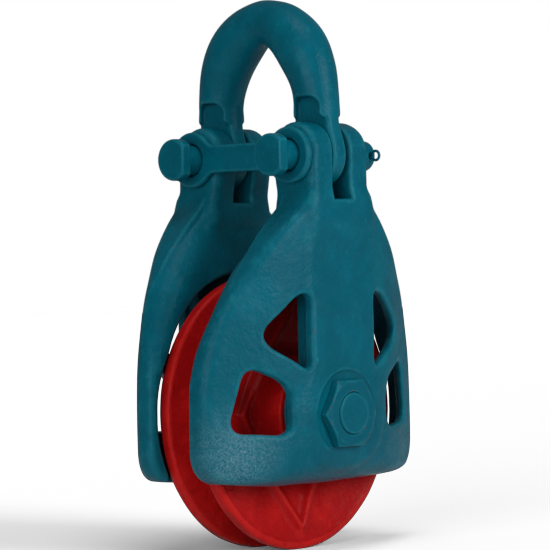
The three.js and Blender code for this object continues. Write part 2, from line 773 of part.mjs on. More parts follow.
const greaseHole = prismZ(new THREE.Shape().absarc(0, 0, 2.5, 0, 2 * Math.PI, false), 0, 40);
const coneSpacer = turnedY(tube(CONE_BORE, 25, GAP - CONE_START, CONE_START - GAP), 28);
addPart("cone_spacer", "spacer", coneSpacer.subtract(greaseHole));

block.position.z = -CROWN_Z;

const part = new THREE.Group();
part.add(block);

export default part;
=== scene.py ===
"""Looks for a single sheave block: painted castings and forgings built as smooth skins of distance
fields, turned steel parts for the bearing set, procedural enamel, and a plain white studio.

Shapes are drawn in millimetres around the centre pin's middle, X along the shackle bolts and Y
along the pin, and placed by the height of the sheave's joint in the CAD frame."""

import json
import math

import bmesh
import bpy
import numpy as np
from mathutils import Matrix, Vector

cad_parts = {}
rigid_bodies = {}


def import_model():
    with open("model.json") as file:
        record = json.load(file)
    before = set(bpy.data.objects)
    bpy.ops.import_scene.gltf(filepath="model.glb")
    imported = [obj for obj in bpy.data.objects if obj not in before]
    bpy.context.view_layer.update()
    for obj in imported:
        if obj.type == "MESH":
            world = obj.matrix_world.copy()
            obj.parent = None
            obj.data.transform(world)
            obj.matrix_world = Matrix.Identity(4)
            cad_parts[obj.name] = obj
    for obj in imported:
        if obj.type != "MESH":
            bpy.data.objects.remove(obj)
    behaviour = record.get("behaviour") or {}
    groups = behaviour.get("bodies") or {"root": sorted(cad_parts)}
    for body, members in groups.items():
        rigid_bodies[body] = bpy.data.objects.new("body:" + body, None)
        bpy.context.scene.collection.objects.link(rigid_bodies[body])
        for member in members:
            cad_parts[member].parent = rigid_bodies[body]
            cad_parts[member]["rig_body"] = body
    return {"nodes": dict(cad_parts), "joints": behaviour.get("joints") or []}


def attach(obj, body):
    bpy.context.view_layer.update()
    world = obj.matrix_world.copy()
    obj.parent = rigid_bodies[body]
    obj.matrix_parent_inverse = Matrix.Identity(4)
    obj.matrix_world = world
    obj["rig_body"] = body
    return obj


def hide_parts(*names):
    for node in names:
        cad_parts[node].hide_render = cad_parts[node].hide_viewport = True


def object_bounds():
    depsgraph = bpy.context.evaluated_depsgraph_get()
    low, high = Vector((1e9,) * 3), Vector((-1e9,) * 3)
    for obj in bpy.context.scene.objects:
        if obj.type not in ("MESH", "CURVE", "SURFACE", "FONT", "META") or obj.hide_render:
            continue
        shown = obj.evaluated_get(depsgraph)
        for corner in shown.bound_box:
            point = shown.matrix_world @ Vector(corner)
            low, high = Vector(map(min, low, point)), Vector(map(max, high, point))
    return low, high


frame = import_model()
cad_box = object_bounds()

MM = 0.001
SPIN = next(j for j in frame["joints"] if j["name"] == "sheave_spin")
PIN_PLACE = Vector(SPIN["pos_m"])
FAR = 400.0

# Driving sizes of the block, in mm, as in the CAD model
RIDGE_Y, RIDGE_HALF, PLATE_DEPTH = 87.0, 28.0, 11.5
CHEEK_HALF, CHEEK_LOW, LIP_Y, LIP_WALL = 143.5, -69.0, 22.0, 9.5
CAVITY_RADIUS, CAVITY_TURN, THROAT_Y = 131.75, math.radians(22.3), 40.0
BOSS_RADIUS, BOSS_Y, SPOTFACE_RADIUS, SPOTFACE_Y = 51.0, 54.0, 39.0, 86.0
SPINE_HALF, SPINE_INNER_Y, EAR_ROOT = 38.5, 61.0, 150.0
EAR_TOP, EAR_RADIUS, SLOT_HALF, SLOT_LOW = 266.5, 27.0, 12.0, 195.5
BOLT_Y, BOLT_Z, BOLT_RADIUS, BOLT_HOLE = 61.0, 236.0, 14.0, 14.6
BOW_HALF, BOW_HEIGHT, BOW_BASE_Z, BOW_POWER = 60.5, 77.8, 284.3, 1.85
BAR_RADIUS, LEG_FOOT, SHOULDER_SWELL, SHACKLE_X = 21.1, 23.5, 4.0, -3.25
EYE_RADIUS, EYE_HALF, FLAT_TOP, FLAT_HALF, FLAT_SHOULDER = 26.0, 8.5, 289.5, 14.5, 270.0
PLATE_EYE, PLATE_BAR_HALF, PLATE_FILLET, PLATE_THICKNESS = 26.0, 13.0, 14.0, 7.5
HEAD_RADIUS, HEAD_OUTER, HEAD_THICKNESS, TAIL_END = 19.5, 71.0, 11.0, 62.0
COTTER_STATION, COTTER_WIRE = 55.0, 1.3
PIN_RADIUS, PIN_END, HEX_FLATS, NUT_FACE, HEAD_FACE = 19.0, 96.4, 60.3, 95.0, 95.5
SHEAVE_RADIUS, SHEAVE_HALF, TREAD_RADIUS, GROOVE_RADIUS, GROOVE_MOUTH = 127.0, 28.5, 98.0, 12.0, 17.0
WEB_HALF, WEB_INNER, WEB_RIM, HUB_RADIUS, HUB_HALF = 13.0, 64.0, 120.5, 52.0, 52.0
RIB_COUNT, RIB_TIP, RIB_STEM, RIB_FLARE, RIB_RISE = 2, 118.0, 9.0, 0.62, 6.5
RIDGE_WIDTH, RIB_FADE = 5.2, 14.0
GREASE_BORE, GREASE_CROSS, GREASE_RECESS, GREASE_DEPTH = 3.0, 2.5, 8.0, 5.5
GAP, ROLLER_GAP = 0.35, 0.4
CUP_RADIUS, CUP_START, CUP_END, CONE_START, CONE_END = 40.0, 18.0, 38.5, 17.0, 43.0
CONE_LIP_RADIUS, CONE_RIB_RADIUS, RACE_LOW, RACE_HIGH, HUB_SHOULDER = 24.2, 29.0, 21.7, 39.4, 33.0
CAGE_HALF, CAGE_START, CAGE_END, CONE_SPACER_RADIUS = 1.0, 18.2, 41.2, 25.0
ROLLER_COUNT, ROLLER_PITCH, ROLLER_STATION, ROLLER_MEAN, ROLLER_LENGTH = 12, 29.5, 29.5, 4.6, 17.0
ROLLER_TILT = math.atan(0.25)
ROLLER_TAPER = math.asin(ROLLER_MEAN * math.sin(ROLLER_TILT) / ROLLER_PITCH)
SPACER_RADIUS, SEAL_START, SEAL_END = 26.0, 45.5, 51.0


# ---- Outlines ----

def bezier(*points, steps=14):
    """Points along a quadratic or cubic curve, its first point left out."""
    p = [np.array(q, float) for q in points]
    out = []
    for t in np.linspace(0, 1, steps + 1)[1:]:
        q = p
        while len(q) > 1:
            q = [a + (b - a) * t for a, b in zip(q, q[1:])]
        out.append(tuple(q[0]))
    return out


def arc(centre, radius, start, end, steps=16):
    """Points round an arc, both ends included; angles in radians."""
    return [(centre[0] + radius * math.cos(a), centre[1] + radius * math.sin(a))
            for a in np.linspace(start, end, steps + 1)]


def rounded(points, cut, steps=8):
    """A polygon with its corners rounded off, as the CAD model rounds them."""
    out = []
    corners = [np.array(p, float) for p in points]
    for i, corner in enumerate(corners):
        ends = []
        for other in (corners[i - 1], corners[(i + 1) % len(corners)]):
            edge = other - corner
            length = np.linalg.norm(edge)
            ends.append(corner + edge * min(cut / length, 0.48))
        out.append(tuple(ends[0]))
        out += bezier(ends[0], corner, ends[1], steps=steps)
    return out


def both_sides(half):
    """A closed outline from its +u half, drawn from bottom to top."""
    return half + [(-u, v) for u, v in reversed(half)]


# ---- Distance fields ----

def soft_min(a, b, k):
    h = np.maximum(k - np.abs(a - b), 0) / k
    return np.minimum(a, b) - h * h * k / 4


def soft_max(a, b, k):
    return -soft_min(-a, -b, k)


def polygon_distance(points, u, v):
    """Signed distance to a closed outline over arrays that broadcast together, negative inside."""
    p = np.array(points, np.float32)
    u, v = np.broadcast_arrays(u.astype(np.float32), v.astype(np.float32))
    best = np.full(u.shape, 1e12, np.float32)
    inside = np.zeros(u.shape, bool)
    for (au, av), (bu, bv) in zip(p, np.roll(p, -1, axis=0)):
        du, dv = bu - au, bv - av
        length = du * du + dv * dv
        if length < 1e-9:
            continue
        t = np.clip(((u - au) * du + (v - av) * dv) / length, 0, 1)
        best = np.minimum(best, (u - au - t * du) ** 2 + (v - av - t * dv) ** 2)
        if dv != 0:
            crosses = (av > v) != (bv > v)
            inside ^= crosses & (u < au + (v - av) / dv * du)
    distance = np.sqrt(best)
    return np.where(inside, -distance, distance)


class Space:
    """A block of grid points in mm, as broadcasting x, y and z arrays."""

    def __init__(self, low, high, step):
        self.low = np.array(low, float)
        self.step = step
        axes = [np.arange(a, b + step, step, dtype=np.float32) for a, b in zip(low, high)]
        self.x = axes[0][:, None, None]
        self.y = axes[1][None, :, None]
        self.z = axes[2][None, None, :]
        self.shape = tuple(len(a) for a in axes)

    def turned(self, profile, radius, along, reach):
        """A body of revolution: `profile` in (radius, station), `radius` and `along` grid arrays."""
        r_axis = np.arange(0, reach, self.step / 2, dtype=np.float32)
        stations = along.ravel()
        solid_core = profile[0][0] == 0
        mirror = [(-r, s) for r, s in reversed(profile)] if solid_core else []
        table = polygon_distance(profile + mirror, r_axis[:, None], stations[None, :])
        place = np.clip(radius / (self.step / 2), 0, len(r_axis) - 1.001)
        index = place.astype(np.int32)
        share = place - index
        shape = np.broadcast_shapes(radius.shape, along.shape)
        index, share = np.broadcast_to(index, shape), np.broadcast_to(share, shape)
        column = np.broadcast_to(np.arange(len(stations)).reshape(along.shape), shape)
        return table[index, column] * (1 - share) + table[index + 1, column] * share

    def lumps(self, seed, size, depth):
        """A slow, uneven swell, as a foundry surface has."""
        rng = np.random.default_rng(seed)
        total = 0
        for _ in range(7):
            direction = rng.normal(size=3)
            direction *= rng.uniform(0.7, 1.5) * 2 * math.pi / size / np.linalg.norm(direction)
            phase = rng.uniform(0, 2 * math.pi)
            wave = self.x * direction[0] + self.y * direction[1] + self.z * direction[2]
            total = total + np.sin(wave + phase)
        return (total * depth / 2.6).astype(np.float32)


def smooth_values(values, edges, rounds):
    """Averages a per-vertex value with its neighbours', `rounds` times."""
    count = np.bincount(edges.ravel(), minlength=len(values)).clip(1)
    for _ in range(rounds):
        total = np.bincount(edges[:, 0], values[edges[:, 1]], len(values))
        total += np.bincount(edges[:, 1], values[edges[:, 0]], len(values))
        values = 0.5 * values + 0.5 * total / count
    return values


def mark_edges(mesh, scale):
    """Stores how proud (positive) or hollow (negative) each point is, for chipped edges, painted edge
    highlights and painted shade in hollows.
    """
    n = len(mesh.vertices)
    co = np.zeros(n * 3)
    normal = np.zeros(n * 3)
    edges = np.zeros(len(mesh.edges) * 2, np.int64)
    mesh.vertices.foreach_get("co", co)
    mesh.vertex_normals.foreach_get("vector", normal)
    mesh.edges.foreach_get("vertices", edges)
    co, normal, edges = co.reshape(-1, 3), normal.reshape(-1, 3), edges.reshape(-1, 2)
    count = np.bincount(edges.ravel(), minlength=n).clip(1)[:, None]
    mean = np.zeros((n, 3))
    for axis in range(3):
        mean[:, axis] = np.bincount(edges[:, 0], co[edges[:, 1], axis], n)
        mean[:, axis] += np.bincount(edges[:, 1], co[edges[:, 0], axis], n)
    bulge = -((mean / count - co) * normal).sum(1)
    bulge = smooth_values(bulge, edges, 5) / scale
    attribute = mesh.attributes.new("edge", "FLOAT", "POINT")
    attribute.data.foreach_set("value", np.clip(bulge, -1, 1).astype(np.float32))


def new_piece(name, mesh, node, material):
    """Adds a piece that stands for a CAD node and rides on the node's body."""
    piece = bpy.data.objects.new(name, mesh)
    bpy.context.scene.collection.objects.link(piece)
    mesh.materials.clear()
    mesh.materials.append(material)
    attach(piece, frame["nodes"][node]["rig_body"])
    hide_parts(node)
    return piece


CUBE = [(i, j, k) for i in (0, 1) for j in (0, 1) for k in (0, 1)]
CUBE_EDGES = [(a, b) for a in CUBE for b in CUBE if a < b and sum(q != p for p, q in zip(a, b)) == 1]


def sample(field, points):
    """The field's value and slope at points given in grid units."""
    base = np.clip(np.floor(points).astype(int), 0, np.array(field.shape) - 2)
    share = points - base
    value = np.zeros(len(points))
    slope = np.zeros((len(points), 3))
    for corner in CUBE:
        at = base + corner
        f = field[at[:, 0], at[:, 1], at[:, 2]]
        weights = [share[:, i] if corner[i] else 1 - share[:, i] for i in range(3)]
        value += f * weights[0] * weights[1] * weights[2]
        for i in range(3):
            others = weights[i - 1] * weights[i - 2]
            slope[:, i] += f * others * (1 if corner[i] else -1)
    return value, slope


def surface_net(field):
    """One point per grid cell the surface passes through, joined into quads facing outward."""
    inside = field < 0
    cells = tuple(n - 1 for n in field.shape)
    count = sum(inside[i:i + cells[0], j:j + cells[1], k:k + cells[2]].astype(np.int8) for i, j, k in CUBE)
    active = (count > 0) & (count < 8)
    index = np.full(cells, -1, np.int64)
    where = np.argwhere(active)
    index[active] = np.arange(len(where))
    total, crossings = np.zeros((len(where), 3)), np.zeros(len(where))
    for a, b in CUBE_EDGES:
        fa = field[tuple((where + a).T)]
        fb = field[tuple((where + b).T)]
        cut = (fa < 0) != (fb < 0)
        share = np.where(cut, fa / np.where(cut, fa - fb, 1), 0)
        total += cut[:, None] * (np.array(a) + share[:, None] * (np.array(b) - np.array(a)))
        crossings += cut
    points = where + total / crossings[:, None]
    quads = []
    for axis in range(3):
        moved = np.moveaxis(inside, axis, 0)
        table = np.moveaxis(index, axis, 0)
        change = moved[:-1] != moved[1:]
        i, j, k = np.nonzero(change[:, 1:-1, 1:-1])
        quad = np.stack([table[i, j, k], table[i, j + 1, k], table[i, j + 1, k + 1], table[i, j, k + 1]], 1)
        outward = moved[i, j + 1, k + 1]
        if axis == 1:
            outward = ~outward
        quads.append(np.where(outward[:, None], quad, quad[:, ::-1]))
    for _ in range(2):
        value, slope = sample(field, points)
        steepness = (slope ** 2).sum(1).clip(0.05)
        step = np.clip(value / steepness, -0.4, 0.4)
        points = points - slope * step[:, None]
    return points, np.concatenate(quads)


def skin_mesh(name, space, field, turn=0.0):
    """The smooth skin of a distance field as a mesh in metres, turned about the Z axis."""
    points, quads = surface_net(np.broadcast_to(field, space.shape))
    points = points * space.step + space.low
    mesh = bpy.data.meshes.new(name)
    mesh.vertices.add(len(points))
    mesh.vertices.foreach_set("co", (points * MM).astype(np.float32).ravel())
    mesh.loops.add(quads.size)
    mesh.loops.foreach_set("vertex_index", quads.astype(np.int32).ravel())
    mesh.polygons.add(len(quads))
    mesh.polygons.foreach_set("loop_start", np.arange(0, quads.size, 4, dtype=np.int32))
    mesh.update(calc_edges=True)
    mesh.validate()
    mesh.shade_smooth()
    mark_edges(mesh, 0.04 * space.step * MM)
    mesh.transform(Matrix.Translation(PIN_PLACE) @ Matrix.Rotation(turn, 4, "Z"))
    return mesh


# ---- Materials ----

class Finish:
    """A Principled material with small helpers for its node tree."""

    def __init__(self, name, roughness=0.5, metallic=0.0):
        self.material = bpy.data.materials.new(name)
        self.material.use_nodes = True
        self.tree = self.material.node_tree
        self.shader = self.tree.nodes["Principled BSDF"]
        self.shader.inputs["Roughness"].default_value = roughness
        self.shader.inputs["Metallic"].default_value = metallic
        self.place = self.add("ShaderNodeTexCoord").outputs["Object"]

    def add(self, kind, **settings):
        node = self.tree.nodes.new(kind)
        for key, value in settings.items():
            setattr(node, key, value)
        return node

    def link(self, source, target):
        self.tree.links.new(source, target)
        return target

    def noise(self, scale, detail=4.0, roughness=0.55, distortion=0.0):
        node = self.add("ShaderNodeTexNoise")
        node.inputs["Scale"].default_value = scale
        node.inputs["Detail"].default_value = detail
        node.inputs["Roughness"].default_value = roughness
        node.inputs["Distortion"].default_value = distortion
        self.link(self.place, node.inputs["Vector"])
        return node.outputs["Fac"]

    def cells(self, scale):
        node = self.add("ShaderNodeTexVoronoi", feature="F1")
        node.inputs["Scale"].default_value = scale
        self.link(self.place, node.inputs["Vector"])
        return node.outputs["Distance"]

    def spread(self, value, low, high, to_low=0.0, to_high=1.0):
        node = self.add("ShaderNodeMapRange", interpolation_type="SMOOTHSTEP")
        for key, number in (("From Min", low), ("From Max", high), ("To Min", to_low), ("To Max", to_high)):
            node.inputs[key].default_value = number
        self.link(value, node.inputs["Value"])
        return node.outputs["Result"]

    def maths(self, operation, a, b):
        node = self.add("ShaderNodeMath", operation=operation)
        for i, value in enumerate((a, b)):
            if isinstance(value, (int, float)):
                node.inputs[i].default_value = value
            else:
                self.link(value, node.inputs[i])
        return node.outputs[0]

    def mix(self, share, a, b):
        """Mixes two colours, each a linear RGB triple or a socket."""
        node = self.add("ShaderNodeMix", data_type="RGBA")
        self.link(share, node.inputs["Factor"])
        for key, value in (("A", a), ("B", b)):
            target = next(s for s in node.inputs if s.name == key and s.type == "RGBA")
            if isinstance(value, tuple):
                target.default_value = (*value, 1.0)
            else:
                self.link(value, target)
        return next(s for s in node.outputs if s.type == "RGBA")

    def edge(self):
        node = self.add("ShaderNodeAttribute", attribute_name="edge")
        return node.outputs["Fac"]

    def bump(self, height, distance, before=None):
        node = self.add("ShaderNodeBump")
        node.inputs["Distance"].default_value = distance
        node.inputs["Strength"].default_value = 1.0
        self.link(height, node.inputs["Height"])
        if before is not None:
            self.link(before, node.inputs["Normal"])
        return node.outputs["Normal"]

    def finish(self, color=None, roughness=None, normal=None):
        for key, value in (("Base Color", color), ("Roughness", roughness), ("Normal", normal)):
            if value is not None:
                self.link(value, self.shader.inputs[key])
        return self.material


def enamel(name, base, light, dark, chip, grain=1.0, gloss=0.07, worn=0.3, sheen_patch=None):
    """Thick semi-gloss enamel over a casting: mottled colour, orange peel, pits, chipped edges, painted
    highlights along convex edges, painted shade in hollows and an optional patch of painted sheen.
    """
    f = Finish(name)
    mottle = f.noise(26, 6, 0.62, 0.4)
    colour = f.mix(f.spread(mottle, 0.38, 0.68), dark, base)
    dust = f.noise(140, 5, 0.7)
    colour = f.mix(f.spread(dust, 0.56, 0.78, 0.0, 0.5), colour, light)
    edge = f.edge()
    # Painted highlight: convex edges lightened towards the light tone, as bright edges catch the light.
    edge_highlight = f.spread(f.maths("ADD", edge, f.spread(f.noise(90, 4), 0.3, 0.7, -0.35, 0.35)), 0.35, 1.0)
    colour = f.mix(f.maths("MULTIPLY", edge_highlight, 0.35), colour, light)
    # Painted shade: hollows and creases darkened towards the dark tone.
    hollow = f.spread(edge, -0.15, -0.9)
    colour = f.mix(f.maths("MULTIPLY", hollow, 0.7), colour, dark)
    chips = f.maths("MULTIPLY", f.spread(edge, 0.6, 1.0), f.spread(f.noise(260, 3), 0.62, 0.7, 0.0, worn))
    colour = f.mix(chips, colour, chip)
    roughness = f.spread(f.noise(60, 5, 0.6), 0.3, 0.7, 0.24, 0.38)
    # Painted sheen: light speckles round a point, a painted reflection of a bright floor on a
    # downward-facing bend.
    if sheen_patch is not None:
        centre, radius = sheen_patch
        away = f.add("ShaderNodeVectorMath", operation="DISTANCE")
        f.link(f.place, away.inputs[0])
        away.inputs[1].default_value = centre
        near = f.spread(away.outputs["Value"], radius, 0.0)
        sheen_specks = f.spread(f.noise(520, 6, 0.75), 0.36, 0.74)
        painted_sheen = f.maths("MULTIPLY", near, sheen_specks)
        colour = f.mix(f.maths("MULTIPLY", painted_sheen, 0.8), colour, (0.15, 0.27, 0.32))
    peel = f.bump(f.noise(380, 3, 0.5), 0.00025 * grain)
    cast = f.bump(f.noise(75, 6, 0.6), 0.0016 * grain, peel)
    pits = f.spread(f.cells(240), 0.0, 0.28)
    normal = f.bump(pits, 0.00022 * grain, cast)
    f.shader.inputs["Specular IOR Level"].default_value = gloss
    return f.finish(colour, roughness, normal)


def steel(name, base, dark, roughness, rings=900.0):
    """Ground or turned steel with fine tool marks round the part."""
    f = Finish(name, metallic=1.0)
    stretch = f.add("ShaderNodeMapping")
    stretch.inputs["Scale"].default_value = (0.15, 1.0, 0.15)
    f.link(f.place, stretch.inputs["Vector"])
    lines = f.add("ShaderNodeTexNoise")
    lines.inputs["Scale"].default_value = rings
    f.link(stretch.outputs["Vector"], lines.inputs["Vector"])
    stain = f.noise(45, 5)
    colour = f.mix(f.spread(stain, 0.35, 0.75), dark, base)
    rough = f.spread(lines.outputs["Fac"], 0.3, 0.7, roughness * 0.8, roughness * 1.3)
    return f.finish(colour, rough, f.bump(lines.outputs["Fac"], 0.00004))


def rubber(name):
    f = Finish(name)
    colour = f.mix(f.spread(f.noise(90, 5), 0.3, 0.7), (0.010, 0.010, 0.011), (0.028, 0.027, 0.027))
    return f.finish(colour, f.spread(f.noise(200, 4), 0.3, 0.7, 0.5, 0.75), f.bump(f.noise(700, 3), 0.0001))


TEAL, TEAL_LIGHT, TEAL_DARK = (0.0008, 0.104, 0.150), (0.010, 0.165, 0.215), (0.0005, 0.084, 0.124)
RED, RED_LIGHT, RED_DARK = (0.460, 0.0085, 0.0085), (0.60, 0.020, 0.015), (0.340, 0.0050, 0.0060)
RUST = (0.110, 0.042, 0.030)

# Centre and radius of the painted sheen on the near cheek's lower-left bend, a painted reflection of a
# bright floor.
PAINTED_SHEEN_BEND = (PIN_PLACE + Vector((-0.118, -0.062, -0.034)), 0.060)
cheek_paint = enamel("cheek_enamel", TEAL, TEAL_LIGHT, TEAL_DARK, RUST, sheen_patch=PAINTED_SHEEN_BEND)
shackle_paint = enamel("shackle_enamel", TEAL, TEAL_LIGHT, TEAL_DARK, RUST, grain=0.7, worn=0.15)
fastener_paint = enamel("fastener_enamel", TEAL, TEAL_LIGHT, TEAL_DARK, RUST, grain=0.5, worn=0.15)
nut_paint = enamel("nut_enamel", TEAL_DARK, TEAL_LIGHT, TEAL_DARK, RUST, grain=0.7, worn=0.9)
sheave_paint = enamel("sheave_enamel", RED, RED_LIGHT, RED_DARK, (0.05, 0.01, 0.01), grain=0.8)
bearing_steel = steel("bearing_steel", (0.62, 0.63, 0.64), (0.46, 0.46, 0.46), 0.16)
cage_steel = steel("cage_steel", (0.42, 0.42, 0.40), (0.30, 0.29, 0.28), 0.32)
spacer_steel = steel("spacer_steel", (0.34, 0.34, 0.35), (0.16, 0.15, 0.14), 0.36)
brass = steel("fitting_brass", (0.62, 0.42, 0.15), (0.42, 0.26, 0.08), 0.25)
seal_rubber = rubber("seal_rubber")


# ---- Cheeks ----

def cheek_outline():
    low, side = CHEEK_LOW, CHEEK_HALF
    half = [(0.0, low)]
    half += bezier((0, low), (80, low + 0.5), (side - 20, low + 11))
    half += bezier(half[-1], (side - 2, low + 17), (side, low + 36))
    half += [(side, 0.0)]
    half += bezier((side, 0), (side + 0.5, 60), (130, 123), (39, 197), steps=24)
    return both_sides(half)


def cavity_outline():
    """The room for the sheave: round, and widened at mid height to leave a thin lip each side."""
    wall = CHEEK_HALF - LIP_WALL
    half = arc((0, 0), CAVITY_RADIUS, -math.pi / 2, -CAVITY_TURN, 16)
    half += bezier(half[-1], (wall - 1, -28), (wall, -5))
    half += bezier((wall, 5), (wall - 1, 28), arc((0, 0), CAVITY_RADIUS, CAVITY_TURN, 0, 1)[0])
    half += arc((0, 0), CAVITY_RADIUS, CAVITY_TURN, math.pi / 2, 16)
    return both_sides(half)


def roof_outline(depth):
    ridge = depth - RIDGE_Y
    arch = bezier((RIDGE_HALF, ridge), (60, ridge + 1.5), (92, ridge + 17.5))
    return both_sides([(0.0, ridge), (RIDGE_HALF, ridge), *arch, (160, ridge + 52.5), (160, 60.0)])


def tuck_outline():
    lower = bezier((-RIDGE_Y, -38), (-72, -62), (-44, CHEEK_LOW))
    return [(-100, FAR), (-100, -30), (-RIDGE_Y, -38), *lower,
            (-LIP_Y, CHEEK_LOW), (-LIP_Y, 60), (-30, 131), (-THROAT_Y, 170), (-THROAT_Y, FAR)]


HOLLOW_TUCK = [(-90, FAR), (-90, -28), (-76, -33), (-60, -50), (-48, -57), (-48, -120),
               (60, -120), (60, FAR)]


def spine_outline():
    inner = bezier((-SPINE_INNER_Y, 110), (-SPINE_INNER_Y, 140), (-41, 180))
    ear = arc((EAR_RADIUS - RIDGE_Y, EAR_TOP - EAR_RADIUS), EAR_RADIUS, 0, math.pi)
    behind_face = 8 - RIDGE_Y
    return [(behind_face, -20), (-SPINE_INNER_Y, -20), (-SPINE_INNER_Y, 110), *inner, (-33, 232), *ear,
            (-RIDGE_Y, 178), (behind_face, 140)]


UPPER_WINDOW = [(43, 110), (58, 108.5), (91, 77), (86, 64), (43, 39)]
LOWER_WINDOW = [(65, 28), (106, 47), (121, -13), (64, -17)]


def cheek_field(s):
    """The cheek casting at -Y: a folded plate with a lip, a spine with two ears, and a hub boss."""
    tuck = polygon_distance(tuck_outline(), s.y, s.z)
    face = soft_max(polygon_distance(roof_outline(0), s.x, s.y),
                    polygon_distance(cheek_outline(), s.x, s.z), 9)
    mouth = 7 + 19 * np.clip((s.z - 30) / 60, 0, 1)
    tuck_blend = np.where(s.y > -48, mouth, 12)
    skin = soft_max(face, tuck, tuck_blend)
    hollow = soft_max(polygon_distance(roof_outline(PLATE_DEPTH), s.x, s.y),
                      polygon_distance(HOLLOW_TUCK, s.y, s.z), 5)
    hollow = soft_max(hollow, polygon_distance(cavity_outline(), s.x, s.z), 4)
    section, side = polygon_distance(spine_outline(), s.y, s.z), np.abs(s.x) - SPINE_HALF
    spine = np.where(s.z > EAR_ROOT, soft_max(section, side, 9), soft_max(section, side, 4))
    field = soft_max(soft_min(skin, spine, 12), -soft_max(hollow, -spine, 4), 4)
    from_pin = np.sqrt(s.x ** 2 + s.z ** 2)
    boss = soft_max(from_pin - BOSS_RADIUS, np.maximum(-s.y - RIDGE_Y + 6, s.y + BOSS_Y), 4)
    boss = soft_max(boss, tuck, 6)
    field = soft_min(field, boss, 8)
    for points, cut in ((UPPER_WINDOW, 12), (LOWER_WINDOW, 16)):
        field = soft_max(field, -polygon_distance(rounded(points, cut), np.abs(s.x), s.z), 5)
    slot = np.maximum(np.abs(s.x) - SLOT_HALF, SLOT_LOW - s.z)
    field = soft_max(field, -slot, 3)
    field = field + s.lumps(3, 42, 0.22)
    bolt = np.sqrt((s.y + BOLT_Y) ** 2 + (s.z - BOLT_Z) ** 2)
    field = soft_max(field, BOLT_HOLE - bolt, 1.5)
    field = soft_max(field, PIN_RADIUS + GAP - from_pin, 1.5)
    spotface = np.maximum(from_pin - SPOTFACE_RADIUS, s.y + SPOTFACE_Y)
    return soft_max(field, -spotface, 1.2)


def make_cheeks():
    space = Space((-150, -92, -74), (150, -20, 272), 1.3)
    field = cheek_field(space)
    for name, turn in (("front_cheek", 0.0), ("rear_cheek", math.pi)):
        mesh = skin_mesh(name + "_casting", space, field, turn)
        new_piece(name + "_casting", mesh, name, cheek_paint)


# ---- Shackle ----

def bow_discs():
    """Centres and radii of the bar along the bow, from one leg end to the other, as (y, z, radius)."""
    leg = [(BOW_HALF, z, LEG_FOOT + (BAR_RADIUS - LEG_FOOT) * (z - BOLT_Z) / (BOW_BASE_Z - BOLT_Z))
           for z in np.linspace(BOLT_Z, BOW_BASE_Z, 10)[:-1]]
    bow = []
    for t in np.linspace(0, math.pi, 97):
        across, up = math.cos(t), math.sin(t)
        y = BOW_HALF * math.copysign(abs(across) ** (2 / BOW_POWER), across)
        z = BOW_BASE_Z + BOW_HEIGHT * up ** (2 / BOW_POWER)
        bow.append((y, z, BAR_RADIUS + SHOULDER_SWELL * 4 * up ** 2 * across ** 2))
    return leg + bow + [(-y, z, r) for y, z, r in reversed(leg)]


def bow_field(s):
    """Distance to the bar: nearest stretch of its centreline, less the radius there."""
    best = np.full(np.broadcast_shapes(s.y.shape, s.z.shape), 1e6, np.float32)
    radius = np.zeros_like(best)
    discs = bow_discs()
    for (ay, az, ar), (by, bz, br) in zip(discs, discs[1:]):
        dy, dz = by - ay, bz - az
        t = np.clip(((s.y - ay) * dy + (s.z - az) * dz) / (dy * dy + dz * dz), 0, 1)
        away = (s.y - ay - t * dy) ** 2 + (s.z - az - t * dz) ** 2
        nearer = away < best
        best = np.where(nearer, away, best)
        radius = np.where(nearer, ar + t * (br - ar), radius)
    return np.sqrt(best + (s.x - SHACKLE_X) ** 2) - radius


def shackle_field(s):
    """A round bar whose legs are forged flat below the shoulders and swell into eyes."""
    arm, side = np.abs(s.y), np.abs(s.x - SHACKLE_X)
    bolt = np.sqrt((arm - BOLT_Y) ** 2 + (s.z - BOLT_Z) ** 2)
    eye = np.maximum(bolt - EYE_RADIUS, side - EYE_HALF)
    body = soft_min(bow_field(s), eye, 14) + s.lumps(11, 38, 0.22)
    corner = 9
    beyond = np.maximum(np.abs(arm - BOW_HALF) - FLAT_HALF + corner, 0)
    above = np.maximum(s.z - FLAT_TOP + corner, 0)
    panel = np.sqrt(beyond ** 2 + above ** 2) - corner
    flat = soft_max(EYE_HALF - side, soft_min(panel, s.z - FLAT_SHOULDER, 4), 3)
    field = soft_max(body, -flat, 3)
    return soft_max(field, BOLT_HOLE - bolt, 1.5)


def make_shackle():
    space = Space((-30, -94, 206), (24, 94, 388), 1.1)
    mesh = skin_mesh("shackle_bow", space, shackle_field(space))
    new_piece("shackle_bow", mesh, "shackle", shackle_paint)


# ---- Link plate, bolts and cotter pins ----

def link_plate_outline():
    rise = PLATE_BAR_HALF + PLATE_FILLET
    run = math.sqrt((PLATE_EYE + PLATE_FILLET) ** 2 - rise ** 2)
    flare = math.atan2(rise, run)
    fillet_y = BOLT_Y - run
    quarter = arc((fillet_y, -rise), PLATE_FILLET, math.pi / 2, flare, 8)
    eye = arc((BOLT_Y, 0), PLATE_EYE, flare - math.pi, math.pi - flare, 40)
    upper = arc((fillet_y, rise), PLATE_FILLET, -flare, -math.pi / 2, 8)
    right = quarter + eye + upper
    return right + [(-u, v) for u, v in reversed(right)]


def make_link_plate():
    back = -SPINE_HALF - GAP
    middle = back - PLATE_THICKNESS / 2
    space = Space((back - PLATE_THICKNESS - 3, -92, BOLT_Z - 30), (back + 3, 92, BOLT_Z + 30), 0.8)
    s = space
    field = polygon_distance(link_plate_outline(), s.y, s.z - BOLT_Z)
    bolt = np.sqrt((np.abs(s.y) - BOLT_Y) ** 2 + (s.z - BOLT_Z) ** 2)
    field = np.maximum(field, BOLT_HOLE - bolt)
    field = soft_max(field, np.abs(s.x - middle) - PLATE_THICKNESS / 2, 3.2) + s.lumps(5, 30, 0.1)
    mesh = skin_mesh("link_plate_dogbone", space, field)
    new_piece("link_plate_dogbone", mesh, "link_plate", fastener_paint)


